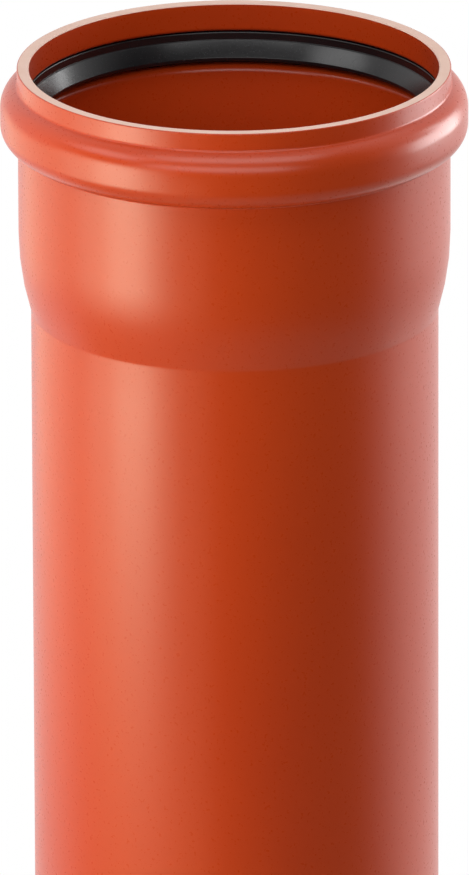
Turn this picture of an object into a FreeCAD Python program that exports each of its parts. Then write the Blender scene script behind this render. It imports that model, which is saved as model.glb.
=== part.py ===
import FreeCAD, Part

import math
import os

import Sketcher

# A DN/OD 110 PVC-U sewer pipe with a formed socket, and the rubber lip seal that sits in the socket's groove.
# It stands on its spigot end: Z runs up the axis, the origin is at the middle of the spigot's end face, and
# the socket's mouth is on top. Lengths are in millimetres. A depth is measured down from the mouth.

DIMENSIONS = {
    # pipe
    "pipe_diameter": 110.0,
    "wall": 3.2,
    "laying_length": 500.0,
    "spigot_lead": 6.0,  # bevel of the spigot, along the pipe
    "spigot_bevel": 1.6,  # the same bevel, across the wall
    "spigot_edge": 0.3,
    # socket
    "socket_depth": 60.0,
    "socket_clearance": 0.2,  # all round a pipe that is pushed in
    "barrel_thinning": 0.15,  # how much the wall loses where the socket is widened
    "barrel_end": 46.0,  # depth at which the taper starts
    "taper_radius": 75.0,
    "taper_foot": 4.0,
    "mouth_thickening": 0.05,
    "mouth_bevel": 0.3,
    "mouth_edge": 0.3,
    # bead round the socket, with the seal's groove inside it
    "neck_length": 5.0,
    "shoulder_radius": 6.5,
    "shoulder_wall": 2.9,
    "groove_depth": 4.65,  # out from the socket's bore
    "groove_corner": 2.5,
    "crest_length": 4.2,  # straight stretch of the bead
    "flank_radius": 5.5,
    "neck_crease": 0.8,
    "flank_crease": 0.6,
    "groove_rounding": 1.0,  # upper edge of the groove
    "groove_foot": 2.0,  # lower edge of the groove
    # seal
    "seal_clearance": 0.3,  # between the seal and the groove
    "collar_gap": 0.5,  # between the collar and a pipe that is pushed in
    "collar_height": 2.2,
    "lip_root_gap": 0.2,  # between the root of the lip and a pipe that is pushed in
    "lip_squeeze": 2.4,  # how far that pipe presses the lip back
    "lip_drop": 4.2,
    "lip_land": 1.0,
    "lip_root": 1.1,
    "lip_tip": 0.9,
    "seal_web": 3.4,  # rubber above the slot behind the lip
    "seal_back": 2.5,  # rubber between that slot and the groove
    "seal_rounding": 0.3,
}


def leg(radius, offset):
    """How far an arc of this radius runs along the pipe at this offset from its centre."""
    return f"sqrt(({radius}) ^ 2 - ({offset}) ^ 2)"


# Shared radii, and depths below the mouth.
PIPE = "dim.pipe_diameter / 2"
BORE = f"({PIPE} - dim.wall)"
SOCKET = f"({PIPE} + dim.socket_clearance)"
BARREL = f"({SOCKET} + dim.wall - dim.barrel_thinning)"
NECK = f"({SOCKET} + dim.wall + dim.mouth_thickening)"
GROOVE = f"({SOCKET} + dim.groove_depth)"
BEAD = f"({GROOVE} + dim.wall)"
FLANK_CENTRE = f"({BEAD} - dim.flank_radius)"
INNER_FLANK = "(dim.flank_radius - dim.wall)"

MOUTH = "(dim.laying_length + dim.socket_depth)"
GROOVE_TOP = "(dim.neck_length + dim.shoulder_wall)"
CREST_TOP = f"(dim.neck_length + {leg('dim.shoulder_radius', f'dim.shoulder_radius - {BEAD} + {NECK}')})"
CREST_END = f"({CREST_TOP} + dim.crest_length)"
GROOVE_END = f"({CREST_END} + {INNER_FLANK})"
TOLERANCE = 1e-6


def at_depth(depth):
    """The height above the spigot's end of a depth below the mouth."""
    return f"{MOUTH} - ({depth})"


def make_sheet(doc):
    sheet = doc.addObject("Spreadsheet::Sheet", "dim")
    for row, (alias, value) in enumerate(DIMENSIONS.items(), start=1):
        sheet.set(f"A{row}", alias)
        sheet.set(f"B{row}", str(value))
        sheet.setAlias(f"B{row}", alias)
    doc.recompute()


def arc_between(start, end, radius, turn):
    """The arc from start to end that turns left or right, and which of its ends is the start's."""
    chord = end - start
    across = FreeCAD.Vector(-chord.y, chord.x, 0) / chord.Length
    side = 1 if turn == "left" else -1
    centre = (start + end) / 2 + across * side * math.sqrt(radius**2 - (chord.Length / 2) ** 2)
    angles = [math.atan2((point - centre).y, (point - centre).x) for point in (start, end)]
    if turn == "right":
        angles.reverse()
    arc = Part.ArcOfCircle(Part.Circle(centre, FreeCAD.Vector(0, 0, 1), radius), *angles)
    return arc, (1, 2) if turn == "left" else (2, 1)


def turned_body(doc, label, corners):
    """A body that turns a closed outline round the Z axis.

    Each corner is a radius and a height, as expressions. A corner that an arc leads to also has the arc's
    radius and the way it turns.
    """
    body = doc.addObject("PartDesign::Body", label)
    sketch = body.newObject("Sketcher::SketchObject", f"{label}_outline")
    plane = next(item for item in body.Origin.OriginFeatures if item.Role == "XZ_Plane")
    sketch.AttachmentSupport = (plane, [""])
    sketch.MapMode = "FlatFace"

    def value(text):
        return float(sketch.evalExpression(text))

    places = [FreeCAD.Vector(value(corner[0]), value(corner[1]), 0) for corner in corners]
    ends = []
    for number, corner in enumerate(corners):
        start, end = places[number - 1], places[number]
        if len(corner) == 2:
            sketch.addGeometry(Part.LineSegment(start, end))
            ends.append((1, 2))
        else:
            arc, order = arc_between(start, end, value(corner[2]), corner[3])
            sketch.addGeometry(arc)
            ends.append(order)
            name_constraint(sketch, Sketcher.Constraint("Radius", number, arc.Radius), f"bend{number}", corner[2])

    for number, corner in enumerate(corners):
        following = (number + 1) % len(corners)
        last, first = ends[number][1], ends[following][0]
        sketch.addConstraint(Sketcher.Constraint("Coincident", number, last, following, first))
        place = places[number]
        across = Sketcher.Constraint("DistanceX", -1, 1, number, last, place.x)
        name_constraint(sketch, across, f"radius{number}", corner[0])
        if corner[1] == "0":
            sketch.addConstraint(Sketcher.Constraint("PointOnObject", number, last, -1))
        else:
            up = Sketcher.Constraint("DistanceY", -1, 1, number, last, place.y)
            name_constraint(sketch, up, f"height{number}", corner[1])

    turning = body.newObject("PartDesign::Revolution", f"{label}_turned")
    turning.Profile = sketch
    turning.ReferenceAxis = (sketch, ["V_Axis"])
    turning.Angle = 360.0
    sketch.Visibility = False
    doc.recompute()
    return body


def name_constraint(sketch, constraint, name, expression):
    index = sketch.addConstraint(constraint)
    sketch.renameConstraint(index, name)
    sketch.setExpression(f"Constraints.{name}", expression)


def ring_edges(body, rings):
    """The names of the circular edges at these radii and heights."""
    tip = body.Tip
    names = []
    for radius, height in rings:
        wanted = (float(tip.evalExpression(radius)), float(tip.evalExpression(height)))
        for number, edge in enumerate(tip.Shape.Edges, start=1):
            if not isinstance(edge.Curve, Part.Circle):
                continue
            found = (edge.Curve.Radius, edge.Curve.Center.z)
            if max(abs(a - b) for a, b in zip(found, wanted)) < TOLERANCE:
                names.append(f"Edge{number}")
    if len(names) != len(rings):
        raise ValueError(f"{body.Label}: {len(names)} edges found for {len(rings)} rings")
    return names


def dress(body, kind, name, size, rings):
    """Rounds (Fillet) or bevels (Chamfer) the edges at these rings."""
    edges = ring_edges(body, rings)
    base = body.Tip
    feature = body.newObject(f"PartDesign::{kind}", name)
    feature.Base = (base, edges)
    feature.setExpression("Radius" if kind == "Fillet" else "Size", size)
    body.Document.recompute()


def make_pipe(doc):
    """The pipe: spigot, plain length, taper, barrel, bead and mouth, all one wall."""
    taper_foot = f"(dim.barrel_end + {leg('dim.taper_radius', f'dim.taper_radius - {BARREL} + {PIPE}')})"
    inner_taper = "(dim.taper_radius - dim.wall + dim.barrel_thinning)"
    inner_foot = f"(dim.barrel_end + {leg(inner_taper, f'{inner_taper} - {SOCKET} + {BORE}')})"
    flank_end = f"({CREST_END} + {leg('dim.flank_radius', f'{BARREL} - {FLANK_CENTRE}')})"
    corner_top = f"{GROOVE} - dim.groove_corner"
    corner_end = f"{GROOVE_TOP} + dim.groove_corner"

    body = turned_body(doc, "pipe", [
        (BORE, "0"),
        (f"{PIPE} - dim.spigot_bevel", "0"),
        (PIPE, "dim.spigot_lead"),
        (PIPE, at_depth(taper_foot)),
        (BARREL, at_depth("dim.barrel_end"), "dim.taper_radius", "left"),
        (BARREL, at_depth(flank_end)),
        (BEAD, at_depth(CREST_END), "dim.flank_radius", "left"),
        (BEAD, at_depth(CREST_TOP)),
        (NECK, at_depth("dim.neck_length"), "dim.shoulder_radius", "left"),
        (NECK, MOUTH),
        (SOCKET, MOUTH),
        (SOCKET, at_depth(GROOVE_TOP)),
        (corner_top, at_depth(GROOVE_TOP)),
        (GROOVE, at_depth(corner_end), "dim.groove_corner", "right"),
        (GROOVE, at_depth(CREST_END)),
        (FLANK_CENTRE, at_depth(GROOVE_END), INNER_FLANK, "right"),
        (SOCKET, at_depth(GROOVE_END)),
        (SOCKET, at_depth("dim.barrel_end")),
        (BORE, at_depth(inner_foot), inner_taper, "right"),
    ])
    dress(body, "Fillet", "neck_crease", "dim.neck_crease", [(NECK, at_depth("dim.neck_length"))])
    dress(body, "Fillet", "flank_crease", "dim.flank_crease", [(BARREL, at_depth(flank_end))])
    dress(body, "Fillet", "taper_foot", "dim.taper_foot", [(PIPE, at_depth(taper_foot))])
    dress(body, "Fillet", "inner_foot", "dim.taper_foot + dim.wall", [(BORE, at_depth(inner_foot))])
    dress(body, "Fillet", "groove_top", "dim.groove_rounding", [(SOCKET, at_depth(GROOVE_TOP))])
    dress(body, "Fillet", "groove_foot", "dim.groove_foot", [(SOCKET, at_depth(GROOVE_END))])
    dress(body, "Chamfer", "mouth_bevel", "dim.mouth_bevel", [(SOCKET, MOUTH)])
    dress(body, "Fillet", "mouth_edge", "dim.mouth_edge", [(NECK, MOUTH)])
    dress(body, "Chamfer", "spigot_edge", "dim.spigot_edge", [(BORE, "0")])
    return body


def make_seal(doc):
    """The lip seal: a collar under the groove's top, a lip that slants in and down, and a foot behind a slot."""
    top = f"({GROOVE_TOP} + dim.seal_clearance)"
    collar_end = f"({top} + dim.collar_height)"
    land_top = f"({collar_end} + dim.lip_drop)"
    land_end = f"({land_top} + dim.lip_land)"
    slot_top = f"({top} + dim.seal_web)"
    foot_end = f"({GROOVE_END} - dim.seal_clearance)"
    back = f"({GROOVE} - dim.seal_clearance)"
    corner = "(dim.groove_corner - dim.seal_clearance)"
    flank = f"({INNER_FLANK} - dim.seal_clearance)"
    collar = f"{PIPE} + dim.collar_gap"
    root = f"{PIPE} + dim.lip_root_gap"
    tip = f"{PIPE} - dim.lip_squeeze"
    slot = f"{back} - dim.seal_back"

    body = turned_body(doc, "seal_ring", [
        (collar, at_depth(top)),
        (collar, at_depth(collar_end)),
        (root, at_depth(collar_end)),
        (tip, at_depth(land_top)),
        (tip, at_depth(land_end)),
        (f"{tip} + dim.lip_tip", at_depth(land_end)),
        (f"{root} + dim.lip_root", at_depth(slot_top)),
        (slot, at_depth(slot_top)),
        (slot, at_depth(foot_end)),
        (FLANK_CENTRE, at_depth(foot_end)),
        (back, at_depth(CREST_END), flank, "left"),
        (back, at_depth(f"{top} + {corner}")),
        (f"{back} - {corner}", at_depth(top), corner, "left"),
    ])
    rounded = [
        (collar, at_depth(top)),
        (root, at_depth(collar_end)),
        (f"{tip} + dim.lip_tip", at_depth(land_end)),
        (slot, at_depth(foot_end)),
    ]
    dress(body, "Fillet", "seal_rounding", "dim.seal_rounding", rounded)
    return body


def check(doc, bodies):
    for item in doc.Objects:
        if {"Invalid", "Error"} & set(item.State):
            raise ValueError(f"{item.Label} failed: {item.State}")
    for body in bodies:
        if body.Shape.isNull() or not body.Shape.isValid() or len(body.Shape.Solids) != 1:
            raise ValueError(f"{body.Label} isn't one valid solid")
        for sketch in (item for item in body.Group if item.isDerivedFrom("Sketcher::SketchObject")):
            if not sketch.FullyConstrained:
                raise ValueError(f"{sketch.Label} isn't fully constrained")


doc = FreeCAD.newDocument("sewer_pipe")
make_sheet(doc)
bodies = [make_pipe(doc), make_seal(doc)]
doc.recompute()
check(doc, bodies)

os.makedirs("parts", exist_ok=True)
for body in bodies:
    body.Shape.exportStep(f"parts/{body.Label}.step")
    box = body.Shape.BoundBox
    print(f"{body.Label}: {box.XLength:.2f} x {box.YLength:.2f} x {box.ZLength:.2f} mm, {body.Shape.Volume:.0f} mm3")
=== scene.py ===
import math

import bpy
from mathutils import Matrix, Vector


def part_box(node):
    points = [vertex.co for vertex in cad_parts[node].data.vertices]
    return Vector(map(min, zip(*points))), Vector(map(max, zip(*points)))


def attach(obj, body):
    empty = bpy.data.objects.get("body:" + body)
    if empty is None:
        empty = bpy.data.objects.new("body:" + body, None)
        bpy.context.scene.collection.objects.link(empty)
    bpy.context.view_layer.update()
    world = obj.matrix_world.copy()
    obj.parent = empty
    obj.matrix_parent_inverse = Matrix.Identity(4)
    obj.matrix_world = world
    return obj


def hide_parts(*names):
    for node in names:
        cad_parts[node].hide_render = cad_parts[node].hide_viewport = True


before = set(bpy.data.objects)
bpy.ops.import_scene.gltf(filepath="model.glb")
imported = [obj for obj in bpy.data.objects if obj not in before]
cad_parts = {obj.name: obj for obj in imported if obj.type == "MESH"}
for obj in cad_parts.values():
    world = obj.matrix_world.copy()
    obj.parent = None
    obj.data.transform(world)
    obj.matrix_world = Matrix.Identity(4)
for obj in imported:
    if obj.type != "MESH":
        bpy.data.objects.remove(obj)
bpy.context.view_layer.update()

mm = 0.001


# Outlines: lists of (radius, depth) in mm, with the depth measured down from the mouth.

def arc(centre, radius, start, end):
    # angles in degrees: 0 points away from the axis and 90 points down the pipe
    steps = max(3, math.ceil(abs(end - start) / 7))
    angles = [math.radians(start + (end - start) * i / steps) for i in range(steps + 1)]
    return [(centre[0] + radius * math.cos(a), centre[1] + radius * math.sin(a)) for a in angles]


def swell(wall, centre, radius, crease):
    # climbs from a straight wall through a small hollow curve and onto a round one
    across = wall + crease - centre[0]
    along = math.sqrt((radius + crease) ** 2 - across ** 2)
    turn = math.degrees(math.atan2(along, across))
    hollow = arc((wall + crease, centre[1] + along), crease, 180, 180 + turn)
    return hollow + arc(centre, radius, turn, 0)[1:]


def flipped(points, depth):
    # the same curve, mirrored about a depth and run the other way
    return [(r, 2 * depth - d) for r, d in reversed(points)]


def softened(corners):
    # corners are (radius, depth, rounding)
    points = []
    for i, (r, d, rounding) in enumerate(corners):
        here = Vector((r, d))
        if not rounding:
            points.append((r, d))
            continue
        back = (Vector(corners[i - 1][:2]) - here).normalized()
        on = (Vector(corners[(i + 1) % len(corners)][:2]) - here).normalized()
        half = back.angle(on) / 2
        centre = here + (back + on).normalized() * rounding / math.sin(half)
        first = here + back * rounding / math.tan(half) - centre
        last = here + on * rounding / math.tan(half) - centre
        steps = 4
        for k in range(steps + 1):
            spoke = first.lerp(last, k / steps).normalized() * rounding
            points.append(tuple(centre + spoke))
    return points


def run(start, end, longest):
    # a straight stretch, cut so that no face is longer than this
    pieces = max(1, math.ceil(math.dist(start, end) / longest))
    return [tuple(Vector(start).lerp(Vector(end), i / pieces)) for i in range(pieces + 1)]


def turned(name, mouth, around, bands):
    # bands are (material number, points); together they close round the section
    ring = []
    materialOf = []
    for material, points in bands:
        for point in points[:-1]:
            ring.append(point)
            materialOf.append(material)
    vertices = []
    for k in range(around):
        angle = 2 * math.pi * k / around
        for r, d in ring:
            vertices.append((r * mm * math.cos(angle), r * mm * math.sin(angle), mouth - d * mm))
    faces = []
    count = len(ring)
    for k in range(around):
        this = k * count
        other = (k + 1) % around * count
        for j in range(count):
            after = (j + 1) % count
            faces.append((this + j, other + j, other + after, this + after))
    mesh = bpy.data.meshes.new(name)
    mesh.from_pydata(vertices, [], faces)
    for face in mesh.polygons:
        face.material_index = materialOf[face.index % count]
    mesh.shade_smooth()
    mesh.set_sharp_from_angle(angle=math.radians(30))
    mesh.validate()
    piece = bpy.data.objects.new(name, mesh)
    bpy.context.scene.collection.objects.link(piece)
    return piece


# Materials

def linear(hexColour):
    values = [int(hexColour[i:i + 2], 16) / 255 for i in (1, 3, 5)]
    return tuple(v / 12.92 if v <= 0.04045 else ((v + 0.055) / 1.055) ** 2.4 for v in values) + (1.0,)


def add(tree, kind, values=None, **settings):
    new = tree.nodes.new("ShaderNode" + kind)
    for name, value in settings.items():
        setattr(new, name, value)
    for name, value in (values or {}).items():
        if isinstance(value, bpy.types.NodeSocket):
            tree.links.new(value, new.inputs[name])
        else:
            new.inputs[name].default_value = value
    return new


def newMaterial(name, ior):
    material = bpy.data.materials.new(name)
    material.use_nodes = True
    tree = material.node_tree
    shader = tree.nodes["Principled BSDF"]
    shader.inputs["IOR"].default_value = ior
    place = add(tree, "TexCoord").outputs["Object"]
    return material, tree, shader, place


def grain(tree, place, size, stretch=(1, 1, 1), detail=2.0):
    # size in mm across one lump; a stretch under 1 draws the lumps out that way
    lie = add(tree, "Mapping", {"Vector": place, "Scale": stretch})
    return add(tree, "TexNoise", {"Vector": lie.outputs[0], "Scale": 1000 / size, "Detail": detail}).outputs["Fac"]


def between(tree, factor, low, high):
    # a noise factor spread over a range; it seldom leaves 0.15 to 0.85
    spread = {"Value": factor, "From Min": 0.15, "From Max": 0.85, "To Min": low, "To Max": high}
    return add(tree, "MapRange", spread).outputs["Result"]


def tinted(tree, factor, dark, light):
    return add(tree, "Mix", {0: factor, 6: linear(dark), 7: linear(light)}, data_type="RGBA").outputs[2]


def bumped(tree, height, depth, below=None):
    values = {"Height": height, "Strength": 1.0, "Distance": depth * mm}
    if below:
        values["Normal"] = below
    return add(tree, "Bump", values).outputs["Normal"]


pvcSkin = {
    "dark": "#BC3A10",
    "light": "#C74312",
    "ior": 1.53,
    "roughness": (0.26, 0.31),
    "drawLine": 1.6,  # mm between the faint lines left by the sizing sleeve
    "drawDepth": 0.0005,
    "peel": 0.9,
    "peelDepth": 0.0008,
}


def extrudedPvc(s):
    # PVC-U pulled through a sizing sleeve: an even satin gloss with faint lines along the pipe
    material, tree, shader, place = newMaterial("extruded PVC-U, orange-brown", s["ior"])
    cloud = grain(tree, place, 45, (1, 1, 0.3))
    lines = grain(tree, place, s["drawLine"], (1, 1, 0.006), 3)
    peel = grain(tree, place, s["peel"])
    tree.links.new(tinted(tree, between(tree, cloud, 0, 1), s["dark"], s["light"]), shader.inputs["Base Color"])
    tree.links.new(between(tree, peel, *s["roughness"]), shader.inputs["Roughness"])
    drawn = bumped(tree, lines, s["drawDepth"])
    tree.links.new(bumped(tree, peel, s["peelDepth"], drawn), shader.inputs["Normal"])
    return material


pvcCut = {
    # pale partly from the rough cut and partly from painted top light
    "dark": "#EDC6B4",
    "light": "#F6D3C3",
    "ior": 1.53,
    "roughness": (0.6, 0.75),
    "toothMark": 0.35,  # mm between the marks that the turning saw leaves round the face
    "toothDepth": 0.02,
}


def sawnPvc(s):
    # the same PVC-U cut through: the torn, chalk-filled surface scatters light and looks dull and somewhat pale;
    # the rest of its paleness is painted top light, the glare of the lamps above on this upward face
    material, tree, shader, place = newMaterial("sawn PVC-U, pale with painted top light", s["ior"])
    flat = add(tree, "VectorMath", {0: place, 1: (1, 1, 0)}, operation="MULTIPLY").outputs["Vector"]
    radius = add(tree, "VectorMath", {0: flat}, operation="LENGTH").outputs["Value"]
    height = add(tree, "SeparateXYZ", {0: place}).outputs["Z"]
    rounds = add(tree, "CombineXYZ", {"X": radius, "Y": height}).outputs["Vector"]
    wander = add(tree, "VectorMath", {0: place, 1: (0.004, 0.004, 0.004), 2: rounds}, operation="MULTIPLY_ADD")
    marks = grain(tree, wander.outputs["Vector"], s["toothMark"], detail=3)
    blotch = grain(tree, place, 6)
    tree.links.new(tinted(tree, between(tree, blotch, 0, 1), s["dark"], s["light"]), shader.inputs["Base Color"])
    tree.links.new(between(tree, marks, *s["roughness"]), shader.inputs["Roughness"])
    tree.links.new(bumped(tree, marks, s["toothDepth"]), shader.inputs["Normal"])
    return material


rubber = {
    "dark": "#121113",
    "light": "#1A191B",
    "ior": 1.52,
    "roughness": (0.2, 0.3),
    "pit": 0.5,
    "pitDepth": 0.006,
}


def mouldedRubber(s):
    # SBR moulded in a polished tool and wiped with lubricant: black, with a soft satin shine
    material, tree, shader, place = newMaterial("moulded SBR rubber, black", s["ior"])
    bloom = grain(tree, place, 9)
    pits = grain(tree, place, s["pit"], detail=3)
    tree.links.new(tinted(tree, between(tree, bloom, 0, 1), s["dark"], s["light"]), shader.inputs["Base Color"])
    tree.links.new(between(tree, pits, *s["roughness"]), shader.inputs["Roughness"])
    tree.links.new(bumped(tree, pits, s["pitDepth"]), shader.inputs["Normal"])
    return material


# The pipe

pipe = {
    "radius": 55.0,
    "wall": 3.2,
    "spigotLead": 6.0,
    "spigotBevel": 1.6,
    "spigotEdge": 0.3,
    "socketClearance": 0.2,
    "barrelThinning": 0.15,
    "barrelEnd": 46.0,
    "taperRadius": 75.0,
    "taperFoot": 4.0,
    "mouthThickening": 0.05,
    "mouthBevel": 0.3,
    "mouthEdge": 0.3,
    "neckLength": 5.0,
    "shoulderRadius": 6.5,
    "shoulderWall": 2.9,
    "grooveDepth": 4.59,  # a hair under the solid, whose facets cut inside the curve
    "grooveCorner": 2.5,
    "crestLength": 4.2,
    "flankRadius": 5.5,
    "neckCrease": 0.8,
    "flankCrease": 0.6,
    "grooveRounding": 1.0,
    "grooveFoot": 2.0,
    "around": 360,
    "longestFace": 12.0,
}


def socketPlaces(p):
    # radii, and depths below the mouth, that the pipe and its seal share
    bore = p["radius"] + p["socketClearance"]
    groove = bore + p["grooveDepth"]
    bead = groove + p["wall"]
    neck = bore + p["wall"] + p["mouthThickening"]
    shoulder = p["shoulderRadius"]
    crestTop = p["neckLength"] + math.sqrt(shoulder ** 2 - (shoulder - bead + neck) ** 2)
    return {
        "bore": bore,
        "groove": groove,
        "bead": bead,
        "neck": neck,
        "barrel": bore + p["wall"] - p["barrelThinning"],
        "grooveTop": p["neckLength"] + p["shoulderWall"],
        "crestTop": crestTop,
        "crestEnd": crestTop + p["crestLength"],
        "grooveEnd": crestTop + p["crestLength"] + p["flankRadius"] - p["wall"],
    }


def makePipe(p, mouth, length):
    s = socketPlaces(p)
    bore = p["radius"] - p["wall"]
    taper = (s["barrel"] - p["taperRadius"], p["barrelEnd"])
    flank = (s["bead"] - p["flankRadius"], s["crestEnd"])
    shoulder = (s["bead"] - p["shoulderRadius"], s["crestTop"])
    edge = p["grooveRounding"]
    foot = p["grooveFoot"]
    corner = p["grooveCorner"]

    outside = swell(p["radius"], taper, p["taperRadius"], p["taperFoot"])
    outside += swell(s["barrel"], flank, p["flankRadius"], p["flankCrease"])
    outside += flipped(swell(s["neck"], shoulder, p["shoulderRadius"], p["neckCrease"]), s["crestTop"])
    outside += arc((s["neck"] - p["mouthEdge"], p["mouthEdge"]), p["mouthEdge"], 0, -90)
    bevelEnd = (p["radius"], length - p["spigotLead"])

    inside = arc((s["bore"] + edge, s["grooveTop"] - edge), edge, 180, 90)
    inside += arc((s["groove"] - corner, s["grooveTop"] + corner), corner, -90, 0)
    inside += arc(flank, p["flankRadius"] - p["wall"], 0, 90)
    inside += arc((s["bore"] + foot, s["grooveEnd"] + foot), foot, -90, -180)
    innerTaper = p["taperRadius"] - p["wall"] + p["barrelThinning"]
    inside += reversed(swell(bore, taper, innerTaper, p["taperFoot"] + p["wall"]))

    mouthIn = (s["bore"] + p["mouthBevel"], 0)
    bevelIn = (s["bore"], p["mouthBevel"])
    endIn = (bore + p["spigotEdge"], length)
    endOut = (p["radius"] - p["spigotBevel"], length)
    boreEnd = (bore, length - p["spigotEdge"])
    longest = p["longestFace"]
    bands = [
        (1, run(endIn, endOut, longest)),
        (1, run(endOut, bevelEnd, longest)),
        (0, run(bevelEnd, outside[0], longest)),
        (0, outside),
        (1, [outside[-1], mouthIn]),
        (1, [mouthIn, bevelIn]),
        (0, [bevelIn, inside[0]]),
        (0, inside),
        (0, run(inside[-1], boreEnd, longest)),
        (1, [boreEnd, endIn]),
    ]
    piece = turned("socketPipe", mouth, p["around"], bands)
    piece.data.materials.append(extrudedPvc(pvcSkin))
    piece.data.materials.append(sawnPvc(pvcCut))
    return piece


# The seal

seal = {
    "clearance": 0.3,
    "collarGap": 0.5,
    "collarHeight": 2.2,
    "rootGap": 0.2,
    "squeeze": 2.4,
    "lipDrop": 4.2,
    "lipLand": 1.0,
    "lipRoot": 1.1,
    "lipTip": 0.9,
    "web": 3.4,
    "back": 2.5,
    "rounding": 0.3,
    "around": 360,
}


def makeSeal(q, p, mouth):
    s = socketPlaces(p)
    top = s["grooveTop"] + q["clearance"]
    collarEnd = top + q["collarHeight"]
    landTop = collarEnd + q["lipDrop"]
    landEnd = landTop + q["lipLand"]
    footEnd = s["grooveEnd"] - q["clearance"]
    collar = p["radius"] + q["collarGap"]
    root = p["radius"] + q["rootGap"]
    tip = p["radius"] - q["squeeze"]
    back = s["groove"] - q["clearance"]
    slot = back - q["back"]
    corner = p["grooveCorner"] - q["clearance"]
    flank = p["flankRadius"] - p["wall"] - q["clearance"]
    soft = q["rounding"]

    behind = arc((s["bead"] - p["flankRadius"], s["crestEnd"]), flank, 90, 0)
    behind += arc((back - corner, top + corner), corner, 0, -90)
    corners = [(slot, footEnd, soft)]
    corners += [(r, d, 0) for r, d in behind]
    corners += [
        (collar, top, soft),
        (collar, collarEnd, soft / 2),
        (root, collarEnd, soft),
        (tip, landTop, soft),
        (tip, landEnd, soft),
        (tip + q["lipTip"], landEnd, soft),
        (root + q["lipRoot"], top + q["web"], soft),
        (slot, top + q["web"], soft),
    ]
    outline = softened(corners)
    piece = turned("lipSeal", mouth, q["around"], [(0, outline + outline[:1])])
    piece.data.materials.append(mouldedRubber(rubber))
    return piece


# Light and view

view = {
    "lens": 800.0,
    "distance": 5.262,
    "elevation": 19.1,
    "aimDepth": 105.6,  # mm below the mouth
    "aimAcross": -0.2,
    "roll": -0.2,
}


def makeCamera(v, mouth):
    data = bpy.data.cameras.new("camera")
    data.lens = v["lens"]
    data.clip_end = 100
    camera = bpy.data.objects.new("camera", data)
    bpy.context.scene.collection.objects.link(camera)
    rise = math.radians(v["elevation"])
    roll = math.radians(v["roll"])
    aim = Vector((v["aimAcross"] * mm, 0, mouth - v["aimDepth"] * mm))
    camera.location = aim + Vector((0, -math.cos(rise), math.sin(rise))) * v["distance"]
    camera.rotation_euler = (Matrix.Rotation(math.pi / 2 - rise, 3, "X") @ Matrix.Rotation(roll, 3, "Z")).to_euler()
    bpy.context.scene.camera = camera


# each panel: bearing from the camera's side in degrees (left is negative); distance, width, lowest and highest
# point in metres; brightness, where 1 is a white page; and colour
panels = {
    "keySoftbox": (-57, 0.62, 0.26, 0.25, 0.57, 4.6, "#FFF8DC"),
    "keyDiffuser": (-62, 0.66, 0.7, 0.2, 0.62, 2.4, "#FFF8DC"),
    "rearFlood": (-120, 1.2, 1.3, 0.0, 0.5, 0.8, "#FFEFB8"),
    "upperSoftbox": (-72, 0.75, 0.5, 0.98, 1.4, 3.0, "#FFFFFF"),
    "lowFlood": (-50, 0.85, 1.2, 0.0, 0.3, 0.8, "#FFF2CC"),
    "frontFill": (-8, 1.6, 2.3, 1.0, 1.72, 2.5, "#FFFFFF"),
    "edgeSoftbox": (116, 1.2, 0.9, 0.24, 0.85, 7.0, "#FFFFFF"),
    "edgeStrip": (121, 1.2, 0.14, 0.85, 1.15, 8.0, "#FFFFFF"),
}
overhead = {"height": 1.6, "forward": 0.4, "width": 1.2, "depth": 0.5, "brightness": 2.5}


def addPanel(name, place, aim, width, height, brightness, colour="#FFFFFF"):
    data = bpy.data.lights.new(name, "AREA")
    data.shape = "RECTANGLE"
    data.size = width
    data.size_y = height
    data.energy = brightness * math.pi * width * height
    data.color = linear(colour)[:3]
    lamp = bpy.data.objects.new(name, data)
    lamp.location = place
    lamp.rotation_euler = (aim - place).to_track_quat("-Z", "Y").to_euler()
    lamp.visible_camera = False
    bpy.context.scene.collection.objects.link(lamp)


def makeLights(mouth):
    for name, (bearing, distance, width, low, high, brightness, colour) in panels.items():
        angle = math.radians(bearing)
        middle = (low + high) / 2
        place = Vector((math.sin(angle) * distance, -math.cos(angle) * distance, middle))
        addPanel(name, place, Vector((0, 0, middle)), width, high - low, brightness, colour)
    place = Vector((0, -overhead["forward"], overhead["height"]))
    size = (overhead["width"], overhead["depth"])
    addPanel("overheadSoftbox", place, Vector((0, 0, mouth)), *size, overhead["brightness"])


room = {"back": 0.5, "front": 0.04, "turnFrom": -0.35, "turnTo": 0.5}


def shown(tree, behind):
    # 1 where a ray should meet the white backdrop: always for the camera and through glass, and behind for a gloss
    path = add(tree, "LightPath").outputs
    straight = add(tree, "Math", {0: path["Is Camera Ray"], 1: path["Is Transmission Ray"]}, operation="MAXIMUM")
    mirrored = add(tree, "Math", {0: path["Is Glossy Ray"], 1: behind}, operation="MULTIPLY")
    return add(tree, "Math", {0: straight.outputs[0], 1: mirrored.outputs[0]}, operation="MAXIMUM").outputs[0]


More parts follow.
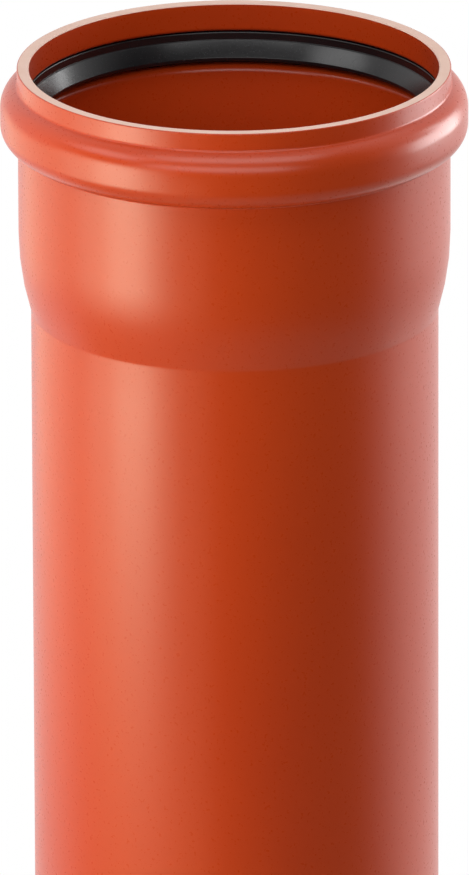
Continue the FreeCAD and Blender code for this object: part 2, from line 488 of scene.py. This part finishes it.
def makeWorld(r):
    # a pale cove behind the pipe and an unlit room in front of it
    world = bpy.data.worlds.new("cove")
    bpy.context.scene.world = world
    world.use_nodes = True
    tree = world.node_tree
    ahead = add(tree, "SeparateXYZ", {0: add(tree, "TexCoord").outputs["Generated"]}).outputs["Y"]
    spread = {"Value": ahead, "From Min": r["turnFrom"], "From Max": r["turnTo"]}
    behind = add(tree, "MapRange", spread, interpolation_type="SMOOTHSTEP").outputs["Result"]
    cove = add(tree, "MapRange", {"Value": behind, "To Min": r["front"], "To Max": r["back"]}).outputs["Result"]
    background = tree.nodes["Background"]
    background.inputs["Color"].default_value = (1, 1, 1, 1)
    tree.links.new(add(tree, "Mix", {0: shown(tree, behind), 2: cove, 3: 1.0}).outputs[0], background.inputs["Strength"])


floor = {"radius": 0.8, "colour": "#A09F9D", "lift": 0.64, "farLift": 1.0, "fade": (0.15, 0.6), "turnTo": 0.4}


def makeFloor(f):
    mesh = bpy.data.meshes.new("floor")
    steps = 96
    angles = [2 * math.pi * i / steps for i in range(steps)]
    rim = [(f["radius"] * math.cos(a), f["radius"] * math.sin(a), 0) for a in angles]
    mesh.from_pydata(rim, [], [tuple(range(steps))])
    piece = bpy.data.objects.new("floor", mesh)
    bpy.context.scene.collection.objects.link(piece)
    material = bpy.data.materials.new("painted board, white")
    material.use_nodes = True
    tree = material.node_tree
    shader = tree.nodes["Principled BSDF"]
    shader.inputs["Base Color"].default_value = linear(f["colour"])
    shader.inputs["Roughness"].default_value = 0.8
    shader.inputs["Emission Color"].default_value = (1, 1, 1, 1)
    place = add(tree, "TexCoord").outputs["Object"]
    ahead = add(tree, "SeparateXYZ", {0: place}).outputs["Y"]
    behind = add(tree, "MapRange", {"Value": ahead, "From Max": f["turnTo"]}).outputs["Result"]
    away = add(tree, "VectorMath", {0: place}, operation="LENGTH").outputs["Value"]
    near, far = f["fade"]
    spread = {"Value": away, "From Min": near, "From Max": far, "To Min": f["lift"], "To Max": f["farLift"]}
    glow = add(tree, "MapRange", spread).outputs["Result"]
    lift = add(tree, "Math", {0: shown(tree, behind), 1: glow}, operation="MULTIPLY").outputs[0]
    tree.links.new(lift, shader.inputs["Emission Strength"])
    mesh.materials.append(material)


print("pipe")
low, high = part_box("pipe")
pipePiece = makePipe(pipe, high.z, (high.z - low.z) / mm)
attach(pipePiece, "root")
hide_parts("pipe")

print("seal")
sealPiece = makeSeal(seal, pipe, high.z)
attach(sealPiece, "root")
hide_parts("seal_ring")

print("camera, lights and floor")
makeCamera(view, high.z)
makeLights(high.z)
makeWorld(room)
makeFloor(floor)
bpy.context.scene.view_settings.view_transform = "Standard"
